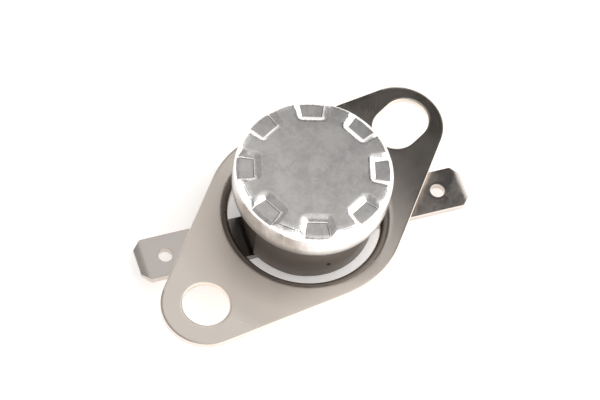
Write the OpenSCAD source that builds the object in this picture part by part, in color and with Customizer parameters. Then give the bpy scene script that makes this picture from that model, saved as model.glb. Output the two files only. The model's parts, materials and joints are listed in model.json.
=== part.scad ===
// Snap-disc thermal cut-out with two flat blades and a captive, swivelling mounting bracket.
// Millimetres. The body's axis is Z, the bracket's long axis is X, and Z = 0 is the plane
// that the two rivet heads stand on.

/* [Cap] */
// Outer diameter of the cap
cap_d = 16; // [15:0.1:20]
// Thickness of the cap's sheet
cap_wall = 0.4; // [0.3:0.05:0.6]
// Outer radius where the face turns into the wall
cap_rim_r = 0.9; // [0.6:0.05:1.2]
// Depth of the curled lip below the base's flange
lip_h = 0.45; // [0.4:0.05:0.7]
// Width of the curled lip, measured inwards from the cap's wall
lip_w = 0.45; // [0.3:0.05:0.6]
// Number of coined notches round the face
notch_count = 8; // [4:1:10]
// Angle of the first notch from the blades' axis
notch_turn = -16; // [-22:1:22]
// Depth of a notch below the face
notch_depth = 0.5; // [0.3:0.05:0.6]
// Radial length of a notch's floor
notch_l = 1.9; // [1.2:0.1:2.2]
// Width of a notch's floor at its inner end
notch_w_in = 1.9; // [1.4:0.1:2.4]
// Width of a notch's floor at the cap's wall
notch_w_out = 2.6; // [2:0.1:3.2]
// Width of the sloping wall round a notch's floor
notch_bevel = 0.55; // [0.3:0.05:0.8]

/* [Disc and pin] */
// Thickness of the snap disc
disc_t = 0.2; // [0.15:0.05:0.3]
// Height of the snap disc's dish
disc_dish = 0.4; // [0.25:0.05:0.5]
// Play between the snap disc's rim and the lugs above it
disc_play = 0.15; // [0.12:0.01:0.25]
// Height of the disc guide from its seat to the ledge under the disc
guide_h = 1.25; // [1.1:0.05:1.6]
// Length of the guide's sleeve round the pin
sleeve_l = 1.5; // [1:0.1:1.8]
// Diameter of the push pin
pin_d = 2.2; // [1.6:0.1:2.4]
// Diameter of the push pin's tip
pin_tip_d = 1.4; // [1:0.1:1.6]
// Play between the cold disc and the push pin
pin_play = 0.25; // [0.15:0.05:0.35]

/* [Base] */
// Inset of the base's side from the cap's wall
base_inset = 1.05; // [0.95:0.05:1.3]
// Wall of the base round the switch chamber
base_wall = 1.55; // [1.3:0.05:1.9]
// Height of the base from its lower rim to the flange
body_h = 6.5; // [6:0.1:9]
// Thickness of the base's flange
flange_t = 1.3; // [1:0.1:2]
// Depth of the foot below the lower rim
foot_h = 0.9; // [0.6:0.05:1.2]
// Inset of the foot from the lower rim
foot_inset = 0.95; // [0.6:0.05:1.2]
// Thickness of the floor above the lower rim
floor_t = 1.2; // [1:0.1:1.6]
// Depth of the flat recess above each blade
recess_depth = 0.75; // [0.4:0.05:0.85]
// How much further than the blade a recess runs on each side
recess_margin = 0.35; // [0.2:0.05:0.5]
// Diameter of the small pit in the base's side
pit_d = 0.5; // [0.4:0.05:0.8]
// Height of the small pit above the lower rim
pit_h = 2.5; // [2:0.1:4]

/* [Blades] */
// Angle of the blades' axis from the bracket's axis
blade_angle = -30; // [-90:1:90]
// Width of a blade
blade_w = 4.7; // [4.4:0.05:4.9]
// Thickness of a blade
blade_t = 0.8; // [0.5:0.05:0.9]
// Distance from the axis to a blade's tip
blade_tip_x = 17.7; // [16.5:0.1:20]
// Distance from a blade's tip to the centre of its detent hole
detent_in = 3; // [2.6:0.1:3.4]
// Diameter of the detent hole
detent_d = 1.45; // [1.2:0.05:1.8]
// Length of the cut corners at a blade's tip
corner_cut = 0.9; // [0.5:0.05:1.1]
// Length of the lead-in bevel at a blade's tip
lead_in = 0.9; // [0.5:0.05:1.1]
// Thickness of the lead-in bevel's edge
lead_edge = 0.4; // [0.3:0.05:0.45]

/* [Contacts] */
// Gap between the left rivet's formed end and the chamber's wall
left_rivet_gap = 0.2; // [0.1:0.05:0.4]
// Gap between the right rivet's formed end and the chamber's wall
right_rivet_gap = 0.1; // [0.05:0.05:0.3]
// Outer diameter of a rivet's shank
shank_d = 1.4; // [1.2:0.05:1.5]
// Diameter of the hole through a rivet
rivet_bore = 0.8; // [0.5:0.05:0.9]
// Diameter of a rivet's flat head
head_d = 3.2; // [2.8:0.1:3.6]
// Thickness of a rivet's flat head
head_t = 0.7; // [0.5:0.05:1]
// Diameter of a rivet's formed end and of its washer
formed_d = 2.4; // [2.2:0.05:2.5]
// Thickness of a rivet's formed end
formed_t = 0.45; // [0.3:0.05:0.6]
// Thickness of a washer
washer_t = 0.3; // [0.2:0.05:0.5]
// Height of the spring arm above the floor
arm_rise = 1.4; // [1.2:0.05:1.6]
// Thickness of the spring arm
arm_t = 0.2; // [0.15:0.01:0.25]
// Gap between the moving contact and the pad under the fixed plate
contact_gap = 0.15; // [0.1:0.05:0.3]
// Diameter of a contact button
contact_d = 1.6; // [1.2:0.05:1.6]
// Height of a contact button
contact_h = 0.6; // [0.5:0.05:0.8]
// Thickness of the fixed plate
plate_t = 0.5; // [0.4:0.05:0.7]

/* [Bracket] */
// Thickness of the bracket's sheet
sheet_t = 0.7; // [0.5:0.05:0.9]
// Height of the bracket's upper face above the blades
bracket_h = 2.2; // [1.8:0.05:3]
// Gap between the base and the bracket's collar
collar_gap = 0.8; // [0.6:0.05:0.9]
// Radius of the bend into the collar, on the upper face
collar_bend = 1.05; // [0.95:0.05:1.3]
// Distance between the centres of the two fixing holes
hole_pitch = 29.8; // [28:0.1:34]
// Diameter of the round fixing hole
fixing_d = 4.8; // [4:0.1:5.2]
// Length of the slotted fixing hole
slot_l = 6.4; // [6.2:0.1:6.8]
// Radius of the bracket's ends
end_r = 4.55; // [4.2:0.05:5.2]
// Width of the flat sheet left outside the collar's bend
land_w = 1.3; // [1:0.1:3]

/* [Hidden] */
$fn = 96;

// Clearances between pieces: seated, slipped in, lifted off the blades, round a pin
seat_gap = 0.02;
slip_gap = 0.05;
lift_gap = 0.05;
pin_gap = 0.04;
// How far a cutting solid runs past what it cuts
over = 0.5;
// Side of a block that is larger than any piece
block = 60;
// How far a straight side starts inside a round end, so that the two cross cleanly
tangent_bite = 0.005;

// Inset of the snap disc from the cap's inner wall
disc_inset = 1.1;
// Width of the guide's ledge under the disc's rim
ledge_w = 0.7;
// Wall of the guide's sleeve
sleeve_wall = 0.9;
// Width of the rivet pads and their wall beyond the shank
pad_w = 3.8;
pad_wall = 0.3;
// Width of a leaf's bar as a share of its smaller pad, and the arm's margin round its button
leaf_neck = 0.8;
leaf_margin = 0.05;
// Share of the sheet's thickness by which a lug's sides stand out from its notch
lug_growth = 0.6;
// Share of the blades' thickness that the foot's channel takes in
channel_share = 0.6;
// Depth of the small pit and radius of the base's moulded edges
pit_depth = 0.5;
foot_edge = 0.25;
// Distance from the axis to a blade's inner end
blade_inner_x = 2;
// Thickness of a button's riveted tail, and the tail's and shank's shares of its diameter
tail_t = 0.15;
tail_share = 0.34;
tail_shank_share = 0.25;

// Heights, from the rivet heads up
blade_z = head_t;
seat_z = blade_z + blade_t;
rim_z = seat_z + foot_h;
floor_z = rim_z + floor_t;
flange_z = rim_z + body_h;
base_top = flange_z + flange_t;
disc_z = base_top + guide_h;
lug_z = disc_z + disc_t + disc_play;
face_z = lug_z + notch_depth + cap_wall;
arm_z = floor_z + arm_rise;
button_z = arm_z + arm_t;
plate_z = button_z + 2 * contact_h + seat_gap;
bracket_z = seat_z + bracket_h;

// Radii and distances from the axis
cap_r = cap_d / 2;
cap_inner_r = cap_r - cap_wall;
flange_r = cap_inner_r - slip_gap;
base_r = cap_r - base_inset;
foot_r = base_r - foot_inset;
chamber_r = base_r - base_wall;
recess_x = base_r - recess_depth;
recess_w = blade_w + 2 * recess_margin;
left_rivet_x = chamber_r - left_rivet_gap - formed_d / 2;
right_rivet_x = chamber_r - right_rivet_gap - formed_d / 2;
contact_x = right_rivet_x - shank_d / 2 - pad_wall - contact_gap - contact_d / 2;
notch_r = cap_r - notch_l;
disc_r = cap_inner_r - disc_inset;
dish_r = (disc_r * disc_r + disc_dish * disc_dish) / (2 * disc_dish);
ledge_r = disc_r - ledge_w;
sleeve_r = pin_d / 2 + pin_gap + sleeve_wall;
collar_r = base_r + collar_gap;
bend_r = collar_r + collar_bend;
middle_r = bend_r + land_w;
hole_x = hole_pitch / 2;

// Slopes of a notch's walls, and how much its sides spread outwards
notch_slope = atan(notch_bevel / notch_depth);
notch_flare = atan((notch_w_out - notch_w_in) / 2 / notch_l);

// Half profile of radius r between two heights, with optional quarter rounds outside.
module revolved_band(r, low, high, low_round = 0, high_round = 0) {
    difference() {
        translate([0, low]) square([r, high - low]);
        if (high_round > 0) translate([r - high_round, high - high_round])
            square(high_round + over);
        if (low_round > 0) translate([r - low_round, low - over])
            square([low_round + over, low_round + over]);
    }
    if (high_round > 0) translate([r - high_round, high - high_round]) circle(high_round);
    if (low_round > 0) translate([r - low_round, low + low_round]) circle(low_round);
}

// Flat link: two round ends with straight sides between them, tangent to both but for the bite.
module link(d, r1, r2) {
    a = acos((r1 - r2) / d);
    near = r1 - tangent_bite;
    far = r2 - tangent_bite;
    circle(r1);
    translate([d, 0]) circle(r2);
    polygon([
        [near * cos(a), near * sin(a)], [d + far * cos(a), far * sin(a)],
        [d + far * cos(a), -far * sin(a)], [near * cos(a), -near * sin(a)]
    ]);
}

// Flat leaf: two round pads, joined by a straight bar that is narrower than either.
module leaf(d, r1, r2) {
    neck = 2 * min(r1, r2) * leaf_neck;
    circle(r1);
    translate([d, 0]) circle(r2);
    translate([0, -neck / 2]) square([d, neck]);
}

// Turns what lies along X to the blades' axis.
module along_blades() {
    rotate([0, 0, blade_angle]) children();
}

// One notch with sloping walls, grown outwards by skin to form the lug under it.
module notch(skin) {
    low = face_z - notch_depth - skin;
    inner = notch_r - skin * lug_growth;
    half = notch_w_in / 2 + skin * lug_growth;
    intersection() {
        translate([0, -cap_r, low]) cube([cap_d, cap_d, notch_depth + skin + over]);
        translate([inner, 0, low]) rotate([0, -notch_slope, 0])
            translate([0, -block / 2, -block / 2]) cube(block);
        translate([inner, half, low]) rotate([0, 0, notch_flare]) rotate([-notch_slope, 0, 0])
            translate([-block / 2, -block, -block / 2]) cube(block);
        translate([inner, -half, low]) rotate([0, 0, -notch_flare]) rotate([notch_slope, 0, 0])
            translate([-block / 2, 0, -block / 2]) cube(block);
    }
}

module notches(skin) {
    for (i = [0 : notch_count - 1])
        rotate([0, 0, notch_turn + i * 360 / notch_count]) notch(skin);
}

// Drawn cup with coined notches; its curled lip holds the base's flange.
module cap() {
    lip_z = flange_z - seat_gap - lip_h;
    color([0.75, 0.74, 0.73]) along_blades() difference() {
        union() {
            rotate_extrude() difference() {
                revolved_band(cap_r, lip_z, face_z, lip_h, cap_rim_r);
                revolved_band(cap_inner_r, flange_z - seat_gap, face_z - cap_wall, 0,
                    cap_rim_r - cap_wall);
                translate([0, lip_z - over]) square([cap_inner_r - lip_w, lip_h + 2 * over]);
            }
            intersection() {
                notches(cap_wall);
                translate([0, 0, lug_z])
                    cylinder(h = notch_depth + cap_wall / 2, r = cap_r - cap_wall / 2);
            }
        }
        notches(0);
    }
}

// Dished snap disc, domed towards the cap while cold.
module bimetal_disc() {
    centre_z = disc_z - sqrt(dish_r * dish_r - disc_r * disc_r);
    color([0.62, 0.55, 0.42]) rotate_extrude() intersection() {
        translate([0, centre_z]) difference() {
            circle(dish_r + disc_t, $fn = 720);
            circle(dish_r, $fn = 720);
        }
        translate([0, disc_z - over]) square([disc_r, disc_dish + disc_t + 2 * over]);
    }
}

// Ring that carries the disc's rim, with a sleeve that guides the pin.
module disc_guide() {
    color([0.86, 0.84, 0.78]) difference() {
        union() {
            translate([0, 0, base_top]) cylinder(h = guide_h + disc_t + disc_play / 2, r = flange_r);
            translate([0, 0, base_top - sleeve_l]) cylinder(h = sleeve_l + over / 2, r = sleeve_r);
        }
        translate([0, 0, disc_z]) cylinder(h = guide_h, r = disc_r + slip_gap);
        translate([0, 0, disc_z - disc_dish - disc_t]) cylinder(h = guide_h, r = ledge_r);
        translate([0, 0, base_top - sleeve_l - over])
            cylinder(h = sleeve_l + guide_h + over, r = pin_d / 2 + pin_gap);
    }
}

// Ceramic pin that carries the disc's snap down to the spring arm.
module push_pin() {
    low = button_z + seat_gap;
    tip_h = base_top - sleeve_l - low - over;
    high = disc_z + disc_dish - pin_play;
    color([0.93, 0.92, 0.88]) {
        translate([0, 0, low]) cylinder(h = tip_h, r = pin_tip_d / 2);
        translate([0, 0, low + tip_h]) cylinder(h = high - low - tip_h, r = pin_d / 2);
    }
}

// Outer form of the base: foot, body and flange.
module base_blank() {
    rotate_extrude() {
        translate([0, seat_z - channel_share * blade_t])
            square([foot_r, rim_z - seat_z + channel_share * blade_t]);
        revolved_band(base_r, rim_z, flange_z + over, foot_edge);
        revolved_band(flange_r, flange_z, base_top, 0, foot_edge);
    }
}

// Pads that raise the two rivet seats above the chamber's floor.
module base_pads() {
    intersection() {
        cylinder(h = base_top, r = chamber_r + over / 2);
        union() {
            translate([-block - left_rivet_x + formed_d / 2 + slip_gap, -pad_w / 2, floor_z - over])
                cube([block, pad_w, arm_z - floor_z + over]);
            translate([right_rivet_x - shank_d / 2 - pad_wall, -pad_w / 2, floor_z - over])
                cube([block, pad_w, plate_z - floor_z + over]);
        }
    }
}

// Moulded base with the switch chamber, the blade recesses and the rivet holes.
module base() {
    color([0.16, 0.15, 0.14]) along_blades() difference() {
        union() {
            difference() {
                base_blank();
                translate([0, 0, floor_z]) cylinder(h = base_top, r = chamber_r);
            }
            base_pads();
        }
        for (side = [0, 1]) mirror([side, 0, 0]) {
            translate([recess_x, -recess_w / 2, seat_z])
                cube([block, recess_w, flange_z - seat_z]);
            translate([0, -blade_w / 2 - slip_gap, seat_z - blade_t])
                cube([block, blade_w + 2 * slip_gap, blade_t]);
        }
        translate([-left_rivet_x, 0, 0]) cylinder(h = arm_z + over, r = shank_d / 2 + pin_gap);
        translate([right_rivet_x, 0, 0]) cylinder(h = plate_z + over, r = shank_d / 2 + pin_gap);
        translate([0, -base_r, rim_z + pit_h]) rotate([90, 0, 0])
            cylinder(h = 2 * pit_depth, r = pit_d / 2, center = true);
    }
}

// Leaf spring from the left rivet to the moving contact.
module spring_arm() {
    color([0.78, 0.55, 0.30]) along_blades() translate([-left_rivet_x, 0, arm_z])
        linear_extrude(arm_t) difference() {
            leaf(left_rivet_x + contact_x, formed_d / 2, contact_d / 2 + leaf_margin);
            circle(shank_d / 2 + pin_gap);
            translate([left_rivet_x + contact_x, 0]) circle(contact_d * tail_shank_share + pin_gap);
        }
}

// Contact button with a riveted tail through a sheet of thickness t.
module contact_button(t) {
    cylinder(h = contact_h, r = contact_d / 2);
    translate([0, 0, -t - seat_gap]) cylinder(h = t + 2 * seat_gap, r = contact_d * tail_shank_share);
    translate([0, 0, -t - seat_gap - tail_t]) cylinder(h = tail_t, r = contact_d * tail_share);
}

// Silver button that the spring arm carries.
module moving_contact() {
    color([0.88, 0.88, 0.86]) along_blades() translate([contact_x, 0, button_z])
        contact_button(arm_t);
}

// Silver button under the fixed plate.
module fixed_contact() {
    color([0.88, 0.88, 0.86]) along_blades() translate([contact_x, 0, plate_z])
        mirror([0, 0, 1]) contact_button(plate_t);
}

// Brass plate that holds the fixed contact above the moving one.
module fixed_plate() {
    color([0.80, 0.66, 0.34]) along_blades() translate([right_rivet_x, 0, plate_z])
        linear_extrude(plate_t) mirror([1, 0]) difference() {
            leaf(right_rivet_x - contact_x, formed_d / 2, contact_d / 2);
            circle(shank_d / 2 + pin_gap);
            translate([right_rivet_x - contact_x, 0]) circle(contact_d * tail_shank_share + pin_gap);
        }
}

// Flat blade along +X with a detent hole, cut corners, a lead-in bevel and a rivet hole.
module blade(rivet_x) {
    half = blade_w / 2;
    slope = atan((blade_t - lead_edge) / 2 / lead_in);
    translate([0, 0, blade_z]) difference() {
        linear_extrude(blade_t) difference() {
            polygon([
                [blade_inner_x, -half], [blade_tip_x - corner_cut, -half],
                [blade_tip_x, -half + corner_cut], [blade_tip_x, half - corner_cut],
                [blade_tip_x - corner_cut, half], [blade_inner_x, half]
            ]);
            translate([rivet_x, 0]) circle(shank_d / 2 + pin_gap);
            translate([blade_tip_x - detent_in, 0]) circle(detent_d / 2);
        }
        for (side = [0, 1]) translate([0, 0, blade_t / 2]) mirror([0, 0, side])
            translate([blade_tip_x - lead_in, -block / 2, blade_t / 2]) rotate([0, slope, 0])
                cube([block, block, blade_t]);
    }
}

module left_terminal() {
    color([0.72, 0.70, 0.67]) along_blades() mirror([1, 0, 0]) blade(left_rivet_x);
}

module right_terminal() {
    color([0.72, 0.70, 0.67]) along_blades() blade(right_rivet_x);
}

// Hollow rivet from the floor plane up through a sheet whose upper face is at height top.
module rivet(x, top) {
    formed_z = top + washer_t;
    translate([x, 0, 0]) difference() {
        union() {
            cylinder(h = head_t - seat_gap, r = head_d / 2);
            cylinder(h = formed_z + formed_t, r = shank_d / 2);
            translate([0, 0, formed_z + seat_gap]) cylinder(h = formed_t - seat_gap, r = formed_d / 2);
        }
        translate([0, 0, -over]) cylinder(h = formed_z + formed_t + 2 * over, r = rivet_bore / 2);
    }
}

// Flat washer on a sheet whose upper face is at height top.
module washer(x, top) {
    translate([x, 0, top]) difference() {
        cylinder(h = washer_t, r = formed_d / 2);
        translate([0, 0, -over]) cylinder(h = washer_t + 2 * over, r = shank_d / 2 + pin_gap);
    }
}

module left_rivet() {
    color([0.80, 0.68, 0.40]) along_blades() rivet(-left_rivet_x, button_z);
}

module right_rivet() {
    color([0.80, 0.68, 0.40]) along_blades() rivet(right_rivet_x, plate_z + plate_t);
}

module left_washer() {
    color([0.76, 0.75, 0.73]) along_blades() washer(-left_rivet_x, button_z);
}

module right_washer() {
    color([0.76, 0.75, 0.73]) along_blades() washer(right_rivet_x, plate_z + plate_t);
}

// Outline of the bracket: a round middle with straight sides running to two round ends.
module bracket_outline() {
    for (side = [0, 1]) mirror([side, 0]) link(hole_x, middle_r, end_r);
}

// Collar drawn down from the sheet, with its bend.
module collar() {
    bend_z = bracket_z - collar_bend;
    foot = seat_z + lift_gap;
    rotate_extrude() {
        intersection() {
            translate([bend_r, bend_z]) difference() {
                circle(collar_bend);
                circle(collar_bend - sheet_t);
            }
            translate([collar_r, bend_z]) square(collar_bend);
        }
        translate([collar_r, foot]) square([sheet_t, bend_z - foot]);
    }
}

// Captive sheet bracket: one round hole, one slot and the collar round the base.
module bracket() {
    slot_run = (slot_l - fixing_d) / 2;
    color([0.66, 0.64, 0.60]) {
        translate([0, 0, bracket_z - sheet_t]) linear_extrude(sheet_t) difference() {
            bracket_outline();
            circle(bend_r);
            translate([-hole_x, 0]) circle(fixing_d / 2);
            for (end = [-slot_run, slot_run]) translate([hole_x + end, 0]) circle(fixing_d / 2);
            translate([hole_x, 0]) square([2 * slot_run, fixing_d], center = true);
        }
        collar();
    }
}

cap();
bimetal_disc();
disc_guide();
push_pin();
base();
spring_arm();
moving_contact();
fixed_contact();
fixed_plate();
left_terminal();
right_terminal();
left_rivet();
right_rivet();
left_washer();
right_washer();
bracket();
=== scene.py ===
"""Looks of a round snap-disc thermal cut-out with a loose, swivelling mounting bracket.

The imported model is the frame, and every piece stands where its node stands. Meshes are worked in
millimetres and turned into metres when they are finished. The notches, the base, the blades and
the spring leaf are made with the blades' axis along X, and then turned to that axis.
"""

import json
import logging
import math
from dataclasses import dataclass, field
from enum import Enum
from typing import Callable, Iterable, Sequence

import bmesh
import bpy
from mathutils import Matrix, Vector


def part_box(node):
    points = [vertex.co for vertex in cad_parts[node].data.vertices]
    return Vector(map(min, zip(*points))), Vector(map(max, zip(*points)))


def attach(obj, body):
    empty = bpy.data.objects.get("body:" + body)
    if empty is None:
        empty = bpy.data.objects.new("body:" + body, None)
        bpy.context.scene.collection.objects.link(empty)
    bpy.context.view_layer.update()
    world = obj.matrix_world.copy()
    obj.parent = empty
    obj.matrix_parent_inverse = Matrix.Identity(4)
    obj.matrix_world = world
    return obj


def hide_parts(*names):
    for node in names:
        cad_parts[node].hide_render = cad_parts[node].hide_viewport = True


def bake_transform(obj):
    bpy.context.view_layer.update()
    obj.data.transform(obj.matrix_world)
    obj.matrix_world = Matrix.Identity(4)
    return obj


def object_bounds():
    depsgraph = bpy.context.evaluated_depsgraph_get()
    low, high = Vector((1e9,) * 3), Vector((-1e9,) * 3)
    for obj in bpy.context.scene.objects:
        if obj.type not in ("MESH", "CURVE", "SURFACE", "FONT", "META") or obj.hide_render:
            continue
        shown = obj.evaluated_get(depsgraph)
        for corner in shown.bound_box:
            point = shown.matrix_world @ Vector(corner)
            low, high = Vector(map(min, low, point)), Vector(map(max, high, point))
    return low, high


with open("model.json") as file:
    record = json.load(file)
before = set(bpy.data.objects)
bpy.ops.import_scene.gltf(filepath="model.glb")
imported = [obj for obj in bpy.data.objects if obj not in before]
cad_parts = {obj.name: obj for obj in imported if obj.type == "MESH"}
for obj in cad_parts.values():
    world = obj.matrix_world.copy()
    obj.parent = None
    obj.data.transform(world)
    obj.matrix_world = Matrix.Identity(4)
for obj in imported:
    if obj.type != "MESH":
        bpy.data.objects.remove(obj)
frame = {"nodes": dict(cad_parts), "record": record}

Mesh = bmesh.types.BMesh
Object = bpy.types.Object
Material = bpy.types.Material
Tree = bpy.types.NodeTree
Socket = bpy.types.NodeSocket
Pair = tuple[float, float]

LOG = logging.getLogger("cut_out")
CAD_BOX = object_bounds()
MM = 0.001
WELD = 1e-3
COPLANAR = math.radians(0.05)
NEARLY_FLAT = math.radians(1)
FULL_TURN = 2 * math.pi
QUARTER_TURN = math.pi / 2
X_AXIS = Vector((1, 0, 0))
Z_AXIS = Vector((0, 0, 1))


def box_mm(node: str) -> tuple[Vector, Vector]:
    """Lowest and highest corners of a node of the frame, in millimetres."""
    low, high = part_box(node)
    return low / MM, high / MM


def mount(name: str) -> dict:
    """Mount of that name in the record."""
    return next(m for m in frame["record"]["mounts"] if m["name"] == name)


BLADE_AXIS = Vector(mount("right_blade")["axis"])
BLADE_ANGLE = math.atan2(BLADE_AXIS.y, BLADE_AXIS.x)
BLADE_TURN = Matrix.Rotation(BLADE_ANGLE, 4, "Z")


# Mesh helpers


@dataclass(frozen=True)
class Corner:
    """Corner of a turned section: its distance from the axis, its height and its rounding."""

    r: float
    z: float
    rounding: float = 0.0


def draw_section(bm: Mesh, corners: Sequence[Corner], closed: bool, segments: int) -> None:
    """Draws a half section in the XZ plane and rounds its corners.

    Args:
        bm: Mesh that takes the section's edges.
        corners: The section's corners, in order.
        closed: Whether the last corner joins the first.
        segments: Segments of each rounding.
    """
    verts = [bmesh.ops.create_vert(bm, co=(c.r, 0, c.z))["vert"][0] for c in corners]
    ring = verts + verts[:1] if closed else verts
    for a, b in zip(ring, ring[1:]):
        bm.edges.new((a, b))
    for corner, vert in zip(corners, verts):
        if corner.rounding:
            one, two = ((e.other_vert(vert).co - vert.co).normalized() for e in vert.link_edges)
            offset = corner.rounding * math.tan((math.pi - one.angle(two)) / 2)
            bmesh.ops.bevel(
                bm, geom=[vert], offset=offset, offset_type="OFFSET", segments=segments,
                profile=0.5, affect="VERTICES", material=-1,
            )


def weld(bm: Mesh) -> None:
    """Welds the vertices that meet."""
    bmesh.ops.remove_doubles(bm, verts=bm.verts, dist=WELD)


def face_out(bm: Mesh) -> None:
    """Turns the faces of a mesh outwards."""
    bmesh.ops.recalc_face_normals(bm, faces=bm.faces)


def revolve(bm: Mesh, steps: int, angle: float = FULL_TURN) -> None:
    """Turns everything drawn so far about the Z axis and welds what meets.

    Args:
        bm: Mesh that holds the section.
        steps: Steps of the turn.
        angle: Angle to turn through.
    """
    full = math.isclose(angle, FULL_TURN)
    bmesh.ops.spin(
        bm, geom=bm.verts[:] + bm.edges[:], cent=(0, 0, 0), axis=Z_AXIS, dvec=(0, 0, 0),
        angle=angle, steps=steps, use_merge=full, use_duplicate=False,
    )
    weld(bm)


def turned(corners: Sequence[Corner], steps: int = 96, segments: int = 6) -> Mesh:
    """Closed solid of revolution with its faces outwards.

    Args:
        corners: Its closed half section.
        steps: Steps of the turn.
        segments: Segments of each rounding.

    Returns:
        The new solid.
    """
    bm = bmesh.new()
    draw_section(bm, corners, closed=True, segments=segments)
    revolve(bm, steps)
    face_out(bm)
    return bm


def block(low: Sequence[float], high: Sequence[float]) -> Mesh:
    """Box between its lowest and its highest corner.

    Args:
        low: The lowest corner.
        high: The highest corner.

    Returns:
        The new box.
    """
    low, high = Vector(low), Vector(high)
    bm = bmesh.new()
    place = Matrix.Translation((high + low) / 2) @ Matrix.Diagonal((*(high - low), 1))
    bmesh.ops.create_cube(bm, size=1, matrix=place)
    return bm


def rod(radius: float, length: float, place: Matrix, segments: int = 48) -> Mesh:
    """Cylinder along the Z axis of a place.

    Args:
        radius: Its radius.
        length: Its length.
        place: Position and turn of its middle.
        segments: Number of its sides.

    Returns:
        The new cylinder.
    """
    bm = bmesh.new()
    bmesh.ops.create_cone(
        bm, cap_ends=True, segments=segments, radius1=radius, radius2=radius, depth=length,
        matrix=place,
    )
    return bm


def mesh_of(name: str, bm: Mesh) -> bpy.types.Mesh:
    """Writes a mesh into a new block of mesh data.

    Args:
        name: Name of the block.
        bm: The mesh, which is freed.

    Returns:
        The block of mesh data.
    """
    mesh = bpy.data.meshes.new(name)
    bm.to_mesh(mesh)
    bm.free()
    return mesh


def object_of(name: str, bm: Mesh, scale: float = MM) -> Object:
    """Turns a mesh into an object of the scene.

    Args:
        name: The object's name.
        bm: Its mesh, which is freed.
        scale: Scale of the mesh, which turns millimetres into metres.

    Returns:
        The new object.
    """
    bmesh.ops.scale(bm, vec=(scale, scale, scale), verts=bm.verts)
    obj = bpy.data.objects.new(name, mesh_of(name, bm))
    bpy.context.scene.collection.objects.link(obj)
    return obj


def append(bm: Mesh, other: Mesh) -> None:
    """Adds another mesh to a mesh.

    Args:
        bm: Mesh that grows.
        other: Mesh that is added and freed.
    """
    mesh = mesh_of("appended", other)
    bm.from_mesh(mesh)
    bpy.data.meshes.remove(mesh)


def arc(bm: Mesh, centre: Vector, radius: float, start: float, sweep: float, steps: int) -> tuple:
    """Draws an arc in a level plane.

    Args:
        bm: Mesh that takes the arc's edges.
        centre: Centre of the arc.
        radius: Its radius.
        start: Angle of its first point, in radians.
        sweep: Angle that it runs through.
        steps: Number of its edges.

    Returns:
        Its first and last vertex.
    """
    place = centre + radius * Vector((math.cos(start), math.sin(start), 0))
    first = bmesh.ops.create_vert(bm, co=place)["vert"][0]
    swept = bmesh.ops.spin(
        bm, geom=[first], cent=centre, axis=Z_AXIS, dvec=(0, 0, 0), angle=sweep, steps=steps,
        use_merge=False, use_duplicate=False,
    )
    last = next(g for g in swept["geom_last"] if isinstance(g, bmesh.types.BMVert))
    return first, last


def link_loop(bm: Mesh, arcs: Sequence[tuple[Vector, float, float, float, int]]) -> list:
    """Draws arcs and joins their ends into one closed loop by straight edges.

    Args:
        bm: Mesh that takes the loop.
        arcs: Centre, radius, start, sweep and number of edges of each arc, in order.

    Returns:
        The loop's edges.
    """
    drawn = bmesh.new()
    ends = [arc(drawn, *values) for values in arcs]
    for (_, last), (first, _) in zip(ends, [*ends[1:], ends[0]]):
        drawn.edges.new((last, first))
    weld(drawn)
    before = set(bm.edges)
    append(bm, drawn)
    return [e for e in bm.edges if e not in before]


def circle(bm: Mesh, centre: Vector, radius: float, steps: int) -> list:
    """Edges of a circle that is drawn in a level plane as two half arcs."""
    halves = [(centre, radius, side * QUARTER_TURN, math.pi, steps // 2) for side in (-1, 1)]
    return link_loop(bm, halves)


def fill(bm: Mesh, edges: Iterable) -> None:
    """Fills the level area between closed loops of edges."""
    bmesh.ops.triangle_fill(
        bm, use_beauty=True, use_dissolve=False, edges=edges, normal=Z_AXIS,
    )


def raise_plate(bm: Mesh, thickness: float) -> None:
    """Extrudes a flat mesh upwards into a plate.

    Args:
        bm: The flat mesh.
        thickness: Thickness of the plate.
    """
    grown = bmesh.ops.extrude_face_region(bm, geom=bm.faces[:])
    raised = [g for g in grown["geom"] if isinstance(g, bmesh.types.BMVert)]
    bmesh.ops.translate(bm, verts=raised, vec=(0, 0, thickness))


def cut_faces(bm: Mesh, point: Vector, normal: Vector, chosen: Callable[[Vector], bool]) -> None:
    """Cuts the chosen faces along a plane.

    Args:
        bm: Mesh that is cut.
        point: A point of the plane.
        normal: The plane's normal.
        chosen: Tells from a face's middle whether it is cut.
    """
    faces = [f for f in bm.faces if chosen(f.calc_center_median())]
    edges = {e for f in faces for e in f.edges}
    verts = {v for f in faces for v in f.verts}
    bmesh.ops.bisect_plane(
        bm, geom=[*faces, *edges, *verts], dist=WELD / 10, plane_co=point, plane_no=normal,
    )


def turn_to_blades(bm: Mesh) -> None:
    """Turns a mesh that was made along X to the blades' axis."""
    bmesh.ops.transform(bm, matrix=BLADE_TURN, verts=bm.verts)


def combine(bm: Mesh, others: Iterable[Mesh], operation: str) -> Mesh:
    """Adds solids to a solid, or takes them out of it.

    Args:
        bm: Solid that is changed and freed.
        others: Solids that are added or taken out, and freed.
        operation: Name of the Boolean modifier's operation.

    Returns:
        The new solid.
    """
    made = [object_of("boolean_part", solid, 1.0) for solid in (bm, *others)]
    for tool in made[1:]:
        modifier = made[0].modifiers.new("boolean", "BOOLEAN")
        modifier.operation = operation
        modifier.solver = "EXACT"
        modifier.object = tool
    shaped = made[0].evaluated_get(bpy.context.evaluated_depsgraph_get())
    result = bmesh.new()
    result.from_mesh(shaped.to_mesh())
    shaped.to_mesh_clear()
    for obj in made:
        bpy.data.meshes.remove(obj.data)
    weld(result)
    bmesh.ops.dissolve_limit(
        result, angle_limit=COPLANAR, verts=result.verts, edges=result.edges,
    )
    return result


@dataclass(frozen=True)
class Edging:
    """Rounding that a Bevel modifier gives a piece's sharp edges, in millimetres and degrees."""

    width: float
    segments: int
    angle: float


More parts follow.
